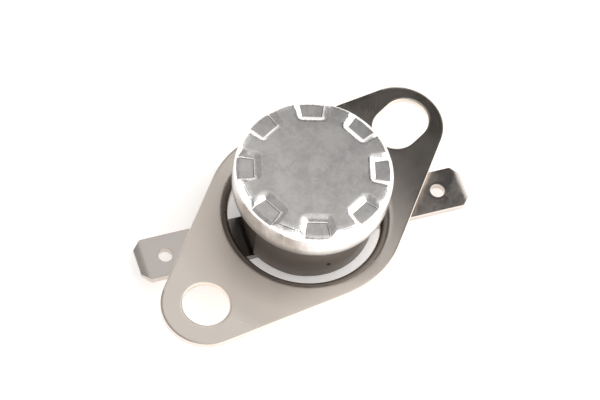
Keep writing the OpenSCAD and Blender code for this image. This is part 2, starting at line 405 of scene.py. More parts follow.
def finished(
    name: str, bm: Mesh, sheet: float = 0.0, edging: Edging | None = None, sharp: float = 180.0,
) -> Object:
    """Turns a mesh in millimetres into an object in metres, with its modifiers.

    Args:
        name: The object's name.
        bm: Its mesh, which is freed.
        sheet: Thickness to give a skin behind its faces.
        edging: Rounding of its sharp edges.
        sharp: Angle in degrees from which an edge is shaded as sharp.

    Returns:
        The new object.
    """
    obj = object_of(name, bm)
    obj.data.shade_smooth()
    obj.data.set_sharp_from_angle(angle=math.radians(sharp))
    if sheet:
        wall = obj.modifiers.new("sheet", "SOLIDIFY")
        wall.thickness = sheet * MM
        wall.offset = -1
        wall.use_even_offset = True
        wall.use_quality_normals = True
    if edging:
        bevel = obj.modifiers.new("edges", "BEVEL")
        bevel.width = edging.width * MM
        bevel.segments = edging.segments
        bevel.limit_method = "ANGLE"
        bevel.angle_limit = math.radians(edging.angle)
        bevel.miter_outer = "MITER_ARC"
    normals = obj.modifiers.new("normals", "WEIGHTED_NORMAL")
    normals.keep_sharp = True
    return obj


# Materials


LEVEL = "level_share"
LEVEL_FROM = 0.97
# Vertex share of painted shade: dark lines in the cap's creases and a darkening towards its lip.
PAINTED_SHADE = "painted_crease_and_lip_shade"
MIX_COLOURS = (6, 7)
MIX_RESULT = 2


def mark_level(bm: Mesh) -> None:
    """Stores how nearly each vertex's faces lie level, for finishes that differ there.

    Args:
        bm: Mesh that takes the shares, from 0 to 1.
    """
    layer = bm.verts.layers.float.new(LEVEL)
    for vert in bm.verts:
        shares = [(f.normal.z - LEVEL_FROM) / (1 - LEVEL_FROM) for f in vert.link_faces]
        vert[layer] = max(0.0, min(shares))


class Grain(Enum):
    """Direction of a surface's fine grain, as how often it changes along X, Y and Z."""

    EVEN = (1, 1, 1)
    ALONG_X = (0.06, 1, 1)
    AROUND_Z = (0.08, 0.08, 1)


class Graph:
    """Adds nodes to one node tree and links them."""

    def __init__(self, tree: Tree) -> None:
        """Takes the tree and empties it."""
        self.tree = tree
        tree.nodes.clear()

    def add(self, kind: str, inputs: dict | None = None, **settings: object) -> bpy.types.Node:
        """Adds one node.

        Args:
            kind: The node's type.
            inputs: Value or socket for each input, by its name or number.
            **settings: Values of the node's own properties.

        Returns:
            The new node.
        """
        node = self.tree.nodes.new(kind)
        for key, value in settings.items():
            setattr(node, key, value)
        for key, value in (inputs or {}).items():
            if isinstance(value, Socket):
                self.tree.links.new(value, node.inputs[key])
            else:
                node.inputs[key].default_value = value
        return node

    def out(self, kind: str, inputs: dict | None = None, **settings: object) -> Socket:
        """First output of a new node."""
        return self.add(kind, inputs, **settings).outputs[0]

    def math(self, operation: str, *values: object) -> Socket:
        """Result of a Math node on numbers or sockets."""
        return self.out("ShaderNodeMath", dict(enumerate(values)), operation=operation)

    def vector(self, operation: str, *values: object) -> Socket:
        """Result of a Vector Math node: a number for a length or a dot product."""
        node = self.add("ShaderNodeVectorMath", dict(enumerate(values)), operation=operation)
        return node.outputs["Value" if operation in ("LENGTH", "DOT_PRODUCT") else "Vector"]

    def toward(self, direction: Socket, azimuth: float) -> Socket:
        """Part of a direction that points to an azimuth, which is in degrees."""
        a = math.radians(azimuth)
        return self.vector("DOT_PRODUCT", direction, (math.cos(a), math.sin(a), 0))

    def between(
        self, value: object, low: object, high: object, to_low: object = 0, to_high: object = 1,
    ) -> Socket:
        """Result of a smooth Map Range node.

        Args:
            value: Value that is mapped.
            low: Value that gives to_low.
            high: Value that gives to_high.
            to_low: Result at and beyond low.
            to_high: Result at and beyond high.

        Returns:
            The mapped value.
        """
        inputs = {
            "Value": value, "From Min": low, "From Max": high, "To Min": to_low, "To Max": to_high,
        }
        return self.out("ShaderNodeMapRange", inputs, interpolation_type="SMOOTHSTEP")

    def mix(self, share: Socket, a: object, b: object, blend: str = "MIX") -> Socket:
        """Colour between two colours.

        Args:
            share: Share of the second colour.
            a: The first colour.
            b: The second colour.
            blend: How the second is laid over the first, by the Mix node's name for it.

        Returns:
            The mixed colour.
        """
        inputs = {0: share, **dict(zip(MIX_COLOURS, (a, b)))}
        node = self.add("ShaderNodeMix", inputs, data_type="RGBA", blend_type=blend)
        return node.outputs[MIX_RESULT]

    def group(self, tree: Tree, **inputs: object) -> Socket:
        """Output of a shared group that is placed with its own values."""
        return self.out("ShaderNodeGroup", inputs, node_tree=tree)

    def shine(self, strength: object) -> Socket:
        """White light of that strength."""
        return self.out("ShaderNodeEmission", {"Color": (1, 1, 1, 1), "Strength": strength})


def new_material(name: str) -> tuple[Material, Graph]:
    """Makes a material with an empty node tree.

    Args:
        name: The material's name.

    Returns:
        The material and its graph.
    """
    made = bpy.data.materials.new(name)
    made.use_nodes = True
    return made, Graph(made.node_tree)


@dataclass
class SharedGroup:
    """Node group with named inputs and one output, a number, that several materials use."""

    name: str
    inputs: dict[str, object]
    tree: Tree = field(init=False)
    g: Graph = field(init=False)
    start: bpy.types.NodeOutputs = field(init=False)

    def __post_init__(self) -> None:
        """Makes the group, its sockets and the node that holds its inputs."""
        self.tree = bpy.data.node_groups.new(self.name, "ShaderNodeTree")
        for key, value in {"Vector": (0, 0, 0), **self.inputs}.items():
            kind = "NodeSocketVector" if isinstance(value, tuple) else "NodeSocketFloat"
            socket = self.tree.interface.new_socket(key, in_out="INPUT", socket_type=kind)
            socket.default_value = value
        self.g = Graph(self.tree)
        self.start = self.g.add("NodeGroupInput").outputs

    def finish(self, name: str, value: Socket) -> Tree:
        """Makes a value the group's output.

        Args:
            name: Name of the output.
            value: The value that it puts out.

        Returns:
            The finished group.
        """
        self.tree.interface.new_socket(name, in_out="OUTPUT", socket_type="NodeSocketFloat")
        self.g.add("NodeGroupOutput", {name: value})
        return self.tree

    def scale(self) -> Socket:
        """Scale of a pattern of the group's size."""
        return self.g.math("DIVIDE", 1.0, self.start["Size"])

    def noise(self, place: Socket, scale: Socket, **inputs: float) -> Socket:
        """Noise at a place."""
        values = {"Vector": place, "Scale": scale, **inputs}
        return self.g.out("ShaderNodeTexNoise", values)

    def cells(self) -> tuple:
        """Pattern of cells.

        Returns:
            The pattern's outputs, three random numbers for each cell, and whether it has a mark.
        """
        values = {"Vector": self.start["Vector"], "Scale": self.scale()}
        cell = self.g.add("ShaderNodeTexVoronoi", values).outputs
        chance = self.g.add("ShaderNodeSeparateColor", {0: cell["Color"]}).outputs
        return cell, chance, self.g.math("LESS_THAN", chance[1], self.start["Share"])


FINER_CLOUDS = 4.3
WIDE_CLOUDS = 0.55
CLOUD_BAND = (0.34, 0.66)
SCRATCH_REACH = 0.55
SCRATCH_CORE = 0.3


def build_clouds() -> Tree:
    """Soft patches of two sizes, from 0 to 1.

    Returns:
        The finished group.
    """
    group = SharedGroup("surface_clouds", {"Size": 3.0})
    g, place = group.g, group.start["Vector"]
    scale = group.scale()
    wide = group.noise(place, scale, Detail=2.0)
    finer = g.math("MULTIPLY", scale, FINER_CLOUDS)
    fine = group.noise(place, finer, Detail=4.0, Roughness=0.65)
    wide, fine = g.math("MULTIPLY", wide, WIDE_CLOUDS), g.math("MULTIPLY", fine, 1 - WIDE_CLOUDS)
    return group.finish("Mask", g.between(g.math("ADD", wide, fine), *CLOUD_BAND))


def build_scratches() -> Tree:
    """Short straight scratches at random angles, one to a cell of the pattern.

    Returns:
        The finished group.
    """
    group = SharedGroup("fine_scratches", {"Size": 1.5, "Share": 0.4, "Width": 0.03})
    g, start = group.g, group.start
    cell, chance, shown = group.cells()
    local = g.vector("SUBTRACT", start["Vector"], cell["Position"])
    angle = g.math("MULTIPLY", chance[0], FULL_TURN)
    inputs = {"Vector": local, "Angle": angle}
    spun = g.out("ShaderNodeVectorRotate", inputs, rotation_type="Z_AXIS")
    place = g.add("ShaderNodeSeparateXYZ", {0: spun}).outputs
    reach = g.math("MULTIPLY", start["Size"], SCRATCH_REACH)
    core = g.math("MULTIPLY", reach, SCRATCH_CORE)
    line = g.between(g.math("ABSOLUTE", place[1]), start["Width"], 0.0)
    ends = g.between(g.math("ABSOLUTE", place[0]), reach, core)
    strength = g.math("MULTIPLY", shown, chance[2])
    return group.finish("Mask", g.math("MULTIPLY", g.math("MULTIPLY", line, ends), strength))


def build_grain() -> Tree:
    """Fine grain, drawn out along one direction by how often it changes along each axis.

    Returns:
        The finished group.
    """
    group = SharedGroup("fine_grain", {"Changes": (1, 1, 1), "Size": 0.1})
    drawn = group.g.vector("MULTIPLY", group.start["Vector"], group.start["Changes"])
    return group.finish("Height", group.noise(drawn, group.scale(), Detail=3.0))


def build_specks() -> Tree:
    """Small round specks, one to a cell of the pattern.

    Returns:
        The finished group.
    """
    group = SharedGroup("small_specks", {"Size": 0.8, "Share": 0.3, "Width": 0.06})
    g, start = group.g, group.start
    cell, _, shown = group.cells()
    away = g.math("MULTIPLY", cell["Distance"], start["Size"])
    spot = g.between(away, start["Width"], 0.0)
    return group.finish("Mask", g.math("MULTIPLY", spot, shown))


@dataclass
class Marks:
    """Surface marks that several materials share, each one a node group."""

    clouds: Tree = field(default_factory=build_clouds)
    scratches: Tree = field(default_factory=build_scratches)
    grain: Tree = field(default_factory=build_grain)
    specks: Tree = field(default_factory=build_specks)


@dataclass(frozen=True)
class Finish:
    """Look of one material. Sizes, radii and depths are in millimetres, angles in degrees.

    Clouds are soft patches, and the grain is a fine relief. The level tone darkens what lies
    level, and the painted shade tone is painted shade in the creases and towards the lip that a
    piece marks. The matt ring is duller metal round the axis, with a lighter tone painted in as
    painted light over the base's dark reflection. It grows towards its azimuth, over the stretch
    that its side gives. Painted shade darkens the metal near the axis, where it runs under the
    collar and base.
    """

    name: str
    color: tuple[float, float, float]
    roughness: float
    metallic: float = 1.0
    ior: float = 1.5
    cloud_size: float = 3.0
    cloud_tint: float = 0.06
    cloud_gloss: float = 0.05
    scratch_size: float = 1.5
    scratch_share: float = 0.3
    scratch_w: float = 0.03
    scratch_tint: float = 0.1
    scratch_depth: float = 0.002
    speck_share: float = 0.1
    speck_tint: float = -0.2
    grain: Grain = Grain.EVEN
    grain_size: float = 0.12
    grain_depth: float = 0.002
    on_blades: bool = False
    level_tone: float | None = None
    level_gloss: float = 0.0
    # Tone of the painted shade in creases and towards a lip.
    painted_shade_tone: float | None = None
    # Matt ring: rougher metal, with a lighter tone that is painted light on one side.
    matt_and_painted_light_ring: tuple[float, float, float, float] | None = None
    matt_gloss: float = 0.0
    painted_light_tone: float = 1.0
    matt_azimuth: float = -170.0
    matt_side: Pair = (-1.0, 6.02)
    # Painted shade near the axis: the radii over which it fades out, and its tone.
    axis_shade_r: Pair | None = None
    axis_shade_tone: float = 0.3

    def toned(self, factor: float) -> tuple[float, float, float, float]:
        """The base colour made lighter or darker by a factor."""
        return (*(min(1.0, c * factor) for c in self.color), 1.0)

    def by_form(self, g: Graph, tone: Socket, rough: Socket) -> tuple[Socket, Socket]:
        """Changes the look where the piece carries painted crease shade or lies level.

        Args:
            g: The material's graph.
            tone: Colour so far.
            rough: Roughness so far.

        Returns:
            The changed colour and roughness.
        """
        # Painted shade in the creases and towards the lip, by each vertex's share.
        if self.painted_shade_tone is not None:
            painted_shade = g.add("ShaderNodeAttribute", attribute_name=PAINTED_SHADE).outputs["Fac"]
            tone = g.mix(painted_shade, tone, self.toned(self.painted_shade_tone))
        if self.level_tone is not None:
            level = g.add("ShaderNodeAttribute", attribute_name=LEVEL).outputs["Fac"]
            tone = g.mix(level, tone, [self.level_tone] * 3 + [1.0], "MULTIPLY")
            rough = g.math("ADD", rough, g.math("MULTIPLY", level, self.level_gloss))
        return tone, rough

    def by_radius(
        self, g: Graph, place: Socket, tone: Socket, rough: Socket,
    ) -> tuple[Socket, Socket]:
        """Changes the look by the distance from the axis.

        Args:
            g: The material's graph.
            place: Place on the piece, in millimetres.
            tone: Colour so far.
            rough: Roughness so far.

        Returns:
            The changed colour and roughness.
        """
        if self.axis_shade_r is None and self.matt_and_painted_light_ring is None:
            return tone, rough
        flat = g.vector("MULTIPLY", place, (1, 1, 0))
        away = g.vector("LENGTH", flat)
        # Painted shade: darker metal near the axis, where the blades run under the collar and base.
        if self.axis_shade_r is not None:
            tone = g.mix(g.between(away, *self.axis_shade_r), self.toned(self.axis_shade_tone), tone)
        # Rougher ring with a lighter tone painted in on one side, as painted light over the base's
        # dark reflection.
        if self.matt_and_painted_light_ring is not None:
            start, full, last, end = self.matt_and_painted_light_ring
            ring = g.math("MULTIPLY", g.between(away, start, full), g.between(away, end, last))
            side = g.between(g.toward(flat, self.matt_azimuth), *self.matt_side)
            ring = g.math("MULTIPLY", ring, side)
            rough = g.math("ADD", rough, g.math("MULTIPLY", ring, self.matt_gloss))
            tone = g.mix(ring, tone, self.toned(self.painted_light_tone))
        return tone, rough

    def material(self, marks: Marks) -> Material:
        """Builds the material.

        Args:
            marks: The shared groups of surface marks.

        Returns:
            The new material.
        """
        made, g = new_material(self.name)
        place = g.out("ShaderNodeMapping", {
            "Vector": g.add("ShaderNodeTexCoord").outputs["Object"],
            "Rotation": (0, 0, -BLADE_ANGLE if self.on_blades else 0.0),
            "Scale": (1 / MM, 1 / MM, 1 / MM),
        })
        clouds = g.group(marks.clouds, Vector=place, Size=self.cloud_size)
        scratches = g.group(
            marks.scratches, Vector=place, Size=self.scratch_size, Share=self.scratch_share,
            Width=self.scratch_w,
        )
        specks = g.group(marks.specks, Vector=place, Share=self.speck_share)
        grain = g.group(
            marks.grain, Vector=place, Changes=self.grain.value, Size=self.grain_size,
        )
        tone = g.mix(clouds, self.toned(1 - self.cloud_tint), self.toned(1 + self.cloud_tint))
        tone = g.mix(scratches, tone, self.toned(1 + self.scratch_tint))
        tone = g.mix(specks, tone, self.toned(1 + self.speck_tint))
        least, most = self.roughness - self.cloud_gloss, self.roughness + self.cloud_gloss
        rough = g.between(clouds, 0.0, 1.0, least, most)
        tone, rough = self.by_form(g, tone, rough)
        tone, rough = self.by_radius(g, place, tone, rough)
        fine = g.out("ShaderNodeBump", {
            "Height": grain, "Distance": self.grain_depth * MM, "Strength": 1.0,
        })
        normal = g.out("ShaderNodeBump", {
            "Height": scratches, "Distance": self.scratch_depth * MM, "Strength": 1.0,
            "Normal": fine,
        }, invert=True)
        shader = g.out("ShaderNodeBsdfPrincipled", {
            "Base Color": tone, "Metallic": self.metallic, "Roughness": rough, "IOR": self.ior,
            "Normal": normal,
        })
        g.add("ShaderNodeOutputMaterial", {"Surface": shader})
        return made


FINISHES = {
    # Cap: its painted shade tone darkens the notch feet, the face's step and the band towards the
    # lip.
    "cap": Finish(
        "coined_aluminium", (0.845, 0.815, 0.795), 0.24, cloud_size=1.5, cloud_tint=0.12,
        cloud_gloss=0.02, scratch_size=1.1, scratch_share=0.65, scratch_w=0.085,
        scratch_tint=0.85, scratch_depth=0.007, speck_share=0.2, speck_tint=-0.3,
        grain_size=0.4, grain_depth=0.0002, level_tone=0.72, level_gloss=0.12, painted_shade_tone=0.2,
    ),
    # Bracket: its matt ring is rougher, and its lighter tone there is painted light on one side.
    "bracket": Finish(
        "satin_steel", (0.78, 0.705, 0.635), 0.21, cloud_size=5.0, cloud_tint=0.015,
        cloud_gloss=0.015, scratch_size=1.6, scratch_share=0.05, scratch_tint=0.06,
        scratch_depth=0.0003, speck_share=0.03, grain=Grain.ALONG_X, grain_size=0.14,
        grain_depth=0.0002, matt_and_painted_light_ring=(8.6, 8.9, 11.5, 15.5), matt_gloss=0.34, painted_light_tone=1.18,
    ),
    # Blades: painted shade darkens them near the axis, under the collar and base.
    "terminal": Finish(
        "plated_blade", (0.665, 0.605, 0.56), 0.24, cloud_size=2.0, cloud_tint=0.03,
        cloud_gloss=0.03, scratch_size=1.2, scratch_share=0.1, scratch_tint=0.06,
        scratch_depth=0.0005, speck_share=0.04, grain=Grain.ALONG_X, grain_size=0.14,
        grain_depth=0.0002, on_blades=True, axis_shade_r=(7.3, 8.3),
    ),
    "base": Finish(
        "black_phenolic", (0.058, 0.043, 0.034), 0.38, metallic=0.0, ior=1.8, cloud_size=1.2,
        cloud_tint=0.1, cloud_gloss=0.03, scratch_share=0.03, scratch_tint=0.4,
        scratch_depth=0.0005, speck_share=0.05, speck_tint=0.4, grain_size=0.3,
        grain_depth=0.0003,
    ),
    "rivet": Finish(
        "turned_brass", (0.74, 0.60, 0.33), 0.26, cloud_size=0.8, scratch_size=0.7,
        grain=Grain.AROUND_Z, grain_size=0.05,
    ),
    "washer": Finish(
        "plated_washer", (0.70, 0.69, 0.67), 0.28, cloud_size=0.8, scratch_size=0.7,
    ),
    "disc": Finish("rolled_bimetal", (0.56, 0.49, 0.37), 0.32, grain=Grain.ALONG_X),
    "guide": Finish("pale_moulding", (0.72, 0.69, 0.62), 0.5, metallic=0.0, cloud_size=1.5),
    "pin": Finish(
        "bare_ceramic", (0.85, 0.83, 0.78), 0.6, metallic=0.0, cloud_size=0.7,
        cloud_tint=0.04, speck_share=0.3,
    ),
    "arm": Finish(
        "copper_alloy", (0.72, 0.45, 0.26), 0.3, grain=Grain.ALONG_X, on_blades=True,
    ),
    "contact": Finish(
        "silver_button", (0.86, 0.85, 0.82), 0.22, cloud_size=0.6, scratch_size=0.5,
    ),
    "plate": Finish(
        "rolled_brass", (0.76, 0.61, 0.32), 0.28, grain=Grain.ALONG_X, on_blades=True,
    ),
}


@dataclass
class Paint:
    """Gives pieces and nodes their materials, one for each of the record's slots."""

    marks: Marks = field(default_factory=Marks)
    made: dict[str, Material] = field(default_factory=dict)
    modelled: set[str] = field(default_factory=set)

    def dress(self, obj: Object, slot: str) -> None:
        """Puts a slot's material on an object and names the slot.

        Args:
            obj: Object to dress.
            slot: Name of the record's slot.
        """
        if slot not in self.made:
            self.made[slot] = FINISHES[slot].material(self.marks)
        obj.data.materials.clear()
        obj.data.materials.append(self.made[slot])

    def place(self, obj: Object, node: str, slot: str) -> None:
        """Dresses a modelled piece, which rides on a node's body and stands for the node.

        Args:
            obj: The modelled piece.
            node: Name of the node.
            slot: Name of the record's slot.
        """
        self.dress(obj, slot)
        bodies = frame["record"]["behaviour"]["bodies"]
        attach(obj, next(b for b, nodes in bodies.items() if node in nodes))
        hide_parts(node)
        self.modelled.add(node)
        LOG.info("%s stands for %s", obj.name, node)


# Cap


def soft_max(a: float, b: float, reach: float) -> float:
    """The greater of two heights, blended where they differ by less than reach."""
    blend = max(reach - abs(a - b), 0) / reach
    return max(a, b) + blend * blend * reach / 4


@dataclass(frozen=True)
class Pit:
    """Notch that is pressed into a skin: a floor in steep low walls, and a gentle slope above."""

    floor: float
    inner: float
    half: float
    flare: float
    depth: float
    bevel: float
    ledge: float = 0.1
    steep: float = 3.0
    ease: float = 0.05
    brim: float = 0.28
    outer_brim: float = 0.45
    brim_fade: float = 3.0
    facets: int = 3

    @property
    def gentle(self) -> float:
        """Slope of the walls above their steep foot."""
        return (self.depth - self.ledge) / self.bevel

    def walls(self) -> list[tuple[Vector, Vector]]:
        """Foot point and outward direction of each wall.

        Returns:
            The walls from the inner one, round the corner, to the one at the side.
        """
        corner = Vector((self.inner, self.half, 0))
        first, last = math.pi, QUARTER_TURN + self.flare
        turns = [first + (last - first) * i / (self.facets + 1) for i in range(self.facets + 2)]
        return [(corner, Vector((math.cos(t), math.sin(t), 0))) for t in turns]

    def outside(self, place: Vector) -> list[float]:
        """Distance of a place from the foot of each wall, on the wall's side."""
        return [(place - foot).dot(out) for foot, out in self.walls()]

    def height(self, place: Vector) -> float:
        """Height of the pressed skin.

        Args:
            place: Place on the skin before it is pressed.

        Returns:
            The height, with the foot of the walls and their brim rounded.
        """
        away = max(self.outside(place))
        wall = -soft_max(-self.steep * away, -self.ledge - self.gentle * away, self.ease)
        reach = max(self.brim, self.outer_brim * (1 - self.brim_fade * max(0.0, away)))
        return -soft_max(-place.z, -self.floor - max(0.0, wall), reach)


@dataclass
class Cap:
    """Drawn aluminium cup with notches coined round its face and its rim curled under the base.

    The face's edge runs through three places, each an inset from the wall and a drop from the
    face. The shoulder is the drop and the rounding of the wall's upper end. The skin is cut as far
    as the margin past a notch, and the cuts are shares of the notch's brim and ease.
    """

    sheet: float = 0.4
    flat_inset: float = 1.15
    inner_rounding: float = 0.5
    droop: Pair = (0.62, 0.02)
    step: Pair = (0.55, 0.12)
    groove: Pair = (0.48, 0.19)
    shoulder: Pair = (0.8, 1.0)
    lip_w: float = 0.45
    roll: float = 0.82
    # Painted shade that darkens the cup towards its lip: its height, its strongest share and its
    # gain.
    lip_shade_h: float = 1.7
    lip_shade_most: float = 0.8
    lip_shade_gain: float = 1.5
    notch_count: int = 8
    first_notch: float = math.radians(-16)
    notch_depth: float = 0.5
    notch_l: float = 1.9
    notch_w: Pair = (1.9, 2.6)
    notch_bevel: float = 0.52
    margin: float = 0.45
    lug_growth: float = 0.24
    # Width of the cut strips beside the foot lines that take the painted crease shade.
    crease_shade_w: float = 0.06
    steps: int = 6
    segments: int = 8
    brim_cuts: tuple = (-1, -0.5, 0, 0.5, 1)
    ease_cuts: tuple = (-1, -0.4, 0.2, 1)
    sharp: float = 40.0
    radius: float = field(init=False)
    face_z: float = field(init=False)
    lip_z: float = field(init=False)

    def __post_init__(self) -> None:
        """Takes the cup's radius and heights from the frame."""
        low, high = box_mm("cap")
        self.radius = high.x
        self.face_z = high.z
        self.lip_z = low.z

    def pit(self, drop: float, growth: float) -> Pit:
        """One notch of a skin.

        Args:
            drop: Depth of the skin below the outer one.
            growth: How much wider the notch is than in the outer skin, on each side.

        Returns:
            The notch.
        """
        w_in, w_out = self.notch_w
        return Pit(
            floor=self.face_z - self.notch_depth - drop,
            inner=self.radius - self.notch_l - growth,
            half=w_in / 2 + growth,
            flare=math.atan((w_out - w_in) / 2 / self.notch_l),
            depth=self.notch_depth,
            bevel=self.notch_bevel,
        )

    def cut_pit(self, bm: Mesh, pit: Pit) -> None:
        """Cuts a skin along the lines in which its pressed form bends.

        Args:
            bm: Half of one notch's share of the skin.
            pit: The notch.
        """
        walls = pit.walls()
        reach = self.notch_bevel + self.margin
        low, edge = pit.floor - self.margin, pit.inner - reach
        side_foot, side = walls[-1]
        cut_faces(bm, X_AXIS * edge, X_AXIS, lambda p: p.z > low)
        cut_faces(bm, side_foot + side * reach, side, lambda p: p.z > low and p.x > edge)

        def near(place: Vector) -> bool:
            """Whether a place lies in or beside the notch."""
            return place.z > low and place.x > edge and pit.outside(place)[-1] < reach

        for one, two in zip(walls, walls[1:]):
            cut_faces(bm, one[0], one[1] - two[1], near)
        levels = [pit.brim * share for share in self.brim_cuts]
        turn_out = pit.ledge / (pit.steep - pit.gentle)
        turn_w = pit.ease / (pit.steep - pit.gentle)
        outs = [-self.crease_shade_w, 0, self.crease_shade_w / 2]
        outs += [turn_out + turn_w * share for share in self.ease_cuts]
        for number, (foot, out) in enumerate(walls):
            def owned(middle: Vector, number: int = number) -> bool:
                """Whether a face lies nearest to this wall."""
                away = pit.outside(middle)
                return near(middle) and away.index(max(away)) == number

            for slope, rise in ((pit.gentle, pit.ledge), (pit.steep, 0.0)):
                tilted = Vector((out.x * slope, out.y * slope, -1))
                for level in levels:
                    at = Vector((foot.x, foot.y, pit.floor + rise + level))
                    cut_faces(bm, at, tilted, owned)
            for away in outs:
                cut_faces(bm, foot + out * away, out, owned)
        for level in levels:
            cut_faces(bm, Z_AXIS * (pit.floor + level), Z_AXIS, near)

    def press(self, bm: Mesh, pit: Pit) -> None:
        """Presses a notch into a skin and paints shade into its creases and towards its lip.

        Args:
            bm: Half of one notch's share of the skin.
            pit: The notch.
        """
        painted_shade = bm.verts.layers.float.new(PAINTED_SHADE)
        step_foot = self.radius - self.step[0]
        for vert in bm.verts:
            before = vert.co.z
            vert.co.z = pit.height(vert.co)
            pressed = before - vert.co.z > WELD
            on_foot = abs(max(pit.outside(vert.co))) < WELD
            # Painted shade: full at the feet of the notch walls and of the face's step, and fading
            # up from the lip.
            at_wall = on_foot and before > pit.floor + 2 * pit.ledge
            at_step = not pressed and abs(vert.co.xy.length - step_foot) < WELD
            fade = max(0.0, 1 - (vert.co.z - self.lip_z) / self.lip_shade_h)
            shade = self.lip_shade_most * min(1.0, self.lip_shade_gain * fade)
            vert[painted_shade] = max(float(at_wall or at_step), shade)

    def skin(self, corners: Sequence[Corner], pit: Pit) -> Mesh:
        """One whole skin of the cup, with all its notches.

        Args:
            corners: The skin's section, from the axis to the lip.
            pit: The notch that is pressed into it.

        Returns:
            The skin.
        """
        half = bmesh.new()
        draw_section(half, corners, closed=False, segments=self.segments)
        revolve(half, self.steps, math.pi / self.notch_count)
        self.cut_pit(half, pit)
        self.press(half, pit)
        bmesh.ops.mirror(
            half, geom=half.verts[:] + half.edges[:] + half.faces[:], merge_dist=WELD, axis="Y",
        )
        sector = mesh_of("sector", half)
        bm = bmesh.new()
        for i in range(self.notch_count):
            turn = Matrix.Rotation(self.first_notch + i * FULL_TURN / self.notch_count, 3, "Z")
            before = set(bm.verts)
            bm.from_mesh(sector)
            new = [v for v in bm.verts if v not in before]
            bmesh.ops.rotate(bm, cent=(0, 0, 0), matrix=turn, verts=new)
        bpy.data.meshes.remove(sector)
        weld(bm)
        return bm

    def build(self, paint: Paint) -> None:
        """Builds the cup from its outer and inner skins and dresses it.

        Args:
            paint: Gives the piece its material.
        """
        r, wall = self.radius, self.sheet
        inner_r, mouth_r = r - wall, r - wall - self.lip_w
        flange_z = self.lip_z + self.lip_w
        drop, rounding = self.shoulder
        edge = (self.droop, self.step, self.groove)
        outer = [
            Corner(0, self.face_z), Corner(r - self.flat_inset, self.face_z),
            *(Corner(r - inset, self.face_z - below) for inset, below in edge),
            Corner(r, self.face_z - drop, rounding), Corner(r, self.lip_z + self.lip_shade_h),
            Corner(r, self.lip_z, self.roll), Corner(mouth_r, self.lip_z),
        ]
        inner = [
            Corner(0, self.face_z - wall), Corner(inner_r, self.face_z - wall, self.inner_rounding),
            Corner(inner_r, flange_z), Corner(mouth_r, flange_z), Corner(mouth_r, self.lip_z),
        ]
        bm = self.skin(outer, self.pit(0, 0))
        append(bm, self.skin(inner, self.pit(wall, self.lug_growth)))
        weld(bm)
        face_out(bm)
        turn_to_blades(bm)
        mark_level(bm)
        paint.place(finished("cap_cup", bm, sharp=self.sharp), "cap", "cap")


# Base


@dataclass
class Base:
    """Moulded base with its flange, a recess above each blade, the chamber and the rivet pads.

    Each pad is given as its two ends along X and its height.
    """

    body_r: float = 6.95
    foot_r: float = 6.0
    chamber_r: float = 5.4
    rim_z: float = 2.4
    floor_z: float = 3.6
    flange_z: float = 8.9
    seat_z: float = 1.5
    recess_x: float = 6.2
    recess_w: float = 5.4
    channel_w: float = 4.8
    pads: tuple = ((-5.9, -2.75, 5.0), (3.1, 5.9, 6.42))
    pad_w: float = 3.8
    pad_root: float = 0.5
    rivet_x: Pair = (-4.0, 4.1)
    rivet_r: float = 0.74
    pit_r: float = 0.25
    pit_z: float = 4.9
    pit_depth: float = 0.5
    pit_sides: int = 24
    foot_edge: float = 0.12
    body_edge: float = 0.55
    flange_edge: float = 0.25
    edging: Edging = Edging(0.09, 3, 35)

    def cuts(self, far: float) -> list[Mesh]:
        """Solids that are taken out of the moulding.

        Args:
            far: A length that reaches past the moulding.

        Returns:
            The blades' channel and recesses, the rivets' holes and the small pit in the side.
        """
        half, wide = self.channel_w / 2, self.recess_w / 2
        made = [block((-far, -half, 0), (far, half, self.seat_z))]
        for side in (-1, 1):
            x0, x1 = sorted((side * self.recess_x, side * far))
            made.append(block((x0, -wide, self.seat_z - WELD), (x1, wide, self.flange_z)))
        for x in self.rivet_x:
            made.append(rod(self.rivet_r, far, Matrix.Translation((x, 0, self.floor_z))))
        at_side = Matrix.Translation((0, -self.body_r, self.pit_z))
        lying = at_side @ Matrix.Rotation(QUARTER_TURN, 4, "X")
        made.append(rod(self.pit_r, 2 * self.pit_depth, lying, self.pit_sides))
        return made

    def build(self, paint: Paint) -> None:
        """Builds the moulding and dresses it.

        Args:
            paint: Gives the piece its material.
        """
        low, high = box_mm("base")
        bm = turned([
            Corner(0, low.z), Corner(self.foot_r, low.z),
            Corner(self.foot_r, self.rim_z, self.foot_edge),
            Corner(self.body_r, self.rim_z, self.body_edge), Corner(self.body_r, self.flange_z),
            Corner(high.x, self.flange_z), Corner(high.x, high.z, self.flange_edge),
            Corner(self.chamber_r, high.z), Corner(self.chamber_r, self.floor_z),
            Corner(0, self.floor_z),
        ])
        half, root = self.pad_w / 2, self.floor_z - self.pad_root
        pads = [block((x0, -half, root), (x1, half, top)) for x0, x1, top in self.pads]
        bm = combine(bm, pads, "UNION")
        bm = combine(bm, self.cuts(2 * high.x), "DIFFERENCE")
        turn_to_blades(bm)
        paint.place(finished("base_moulding", bm, edging=self.edging), "base", "base")


# Bracket


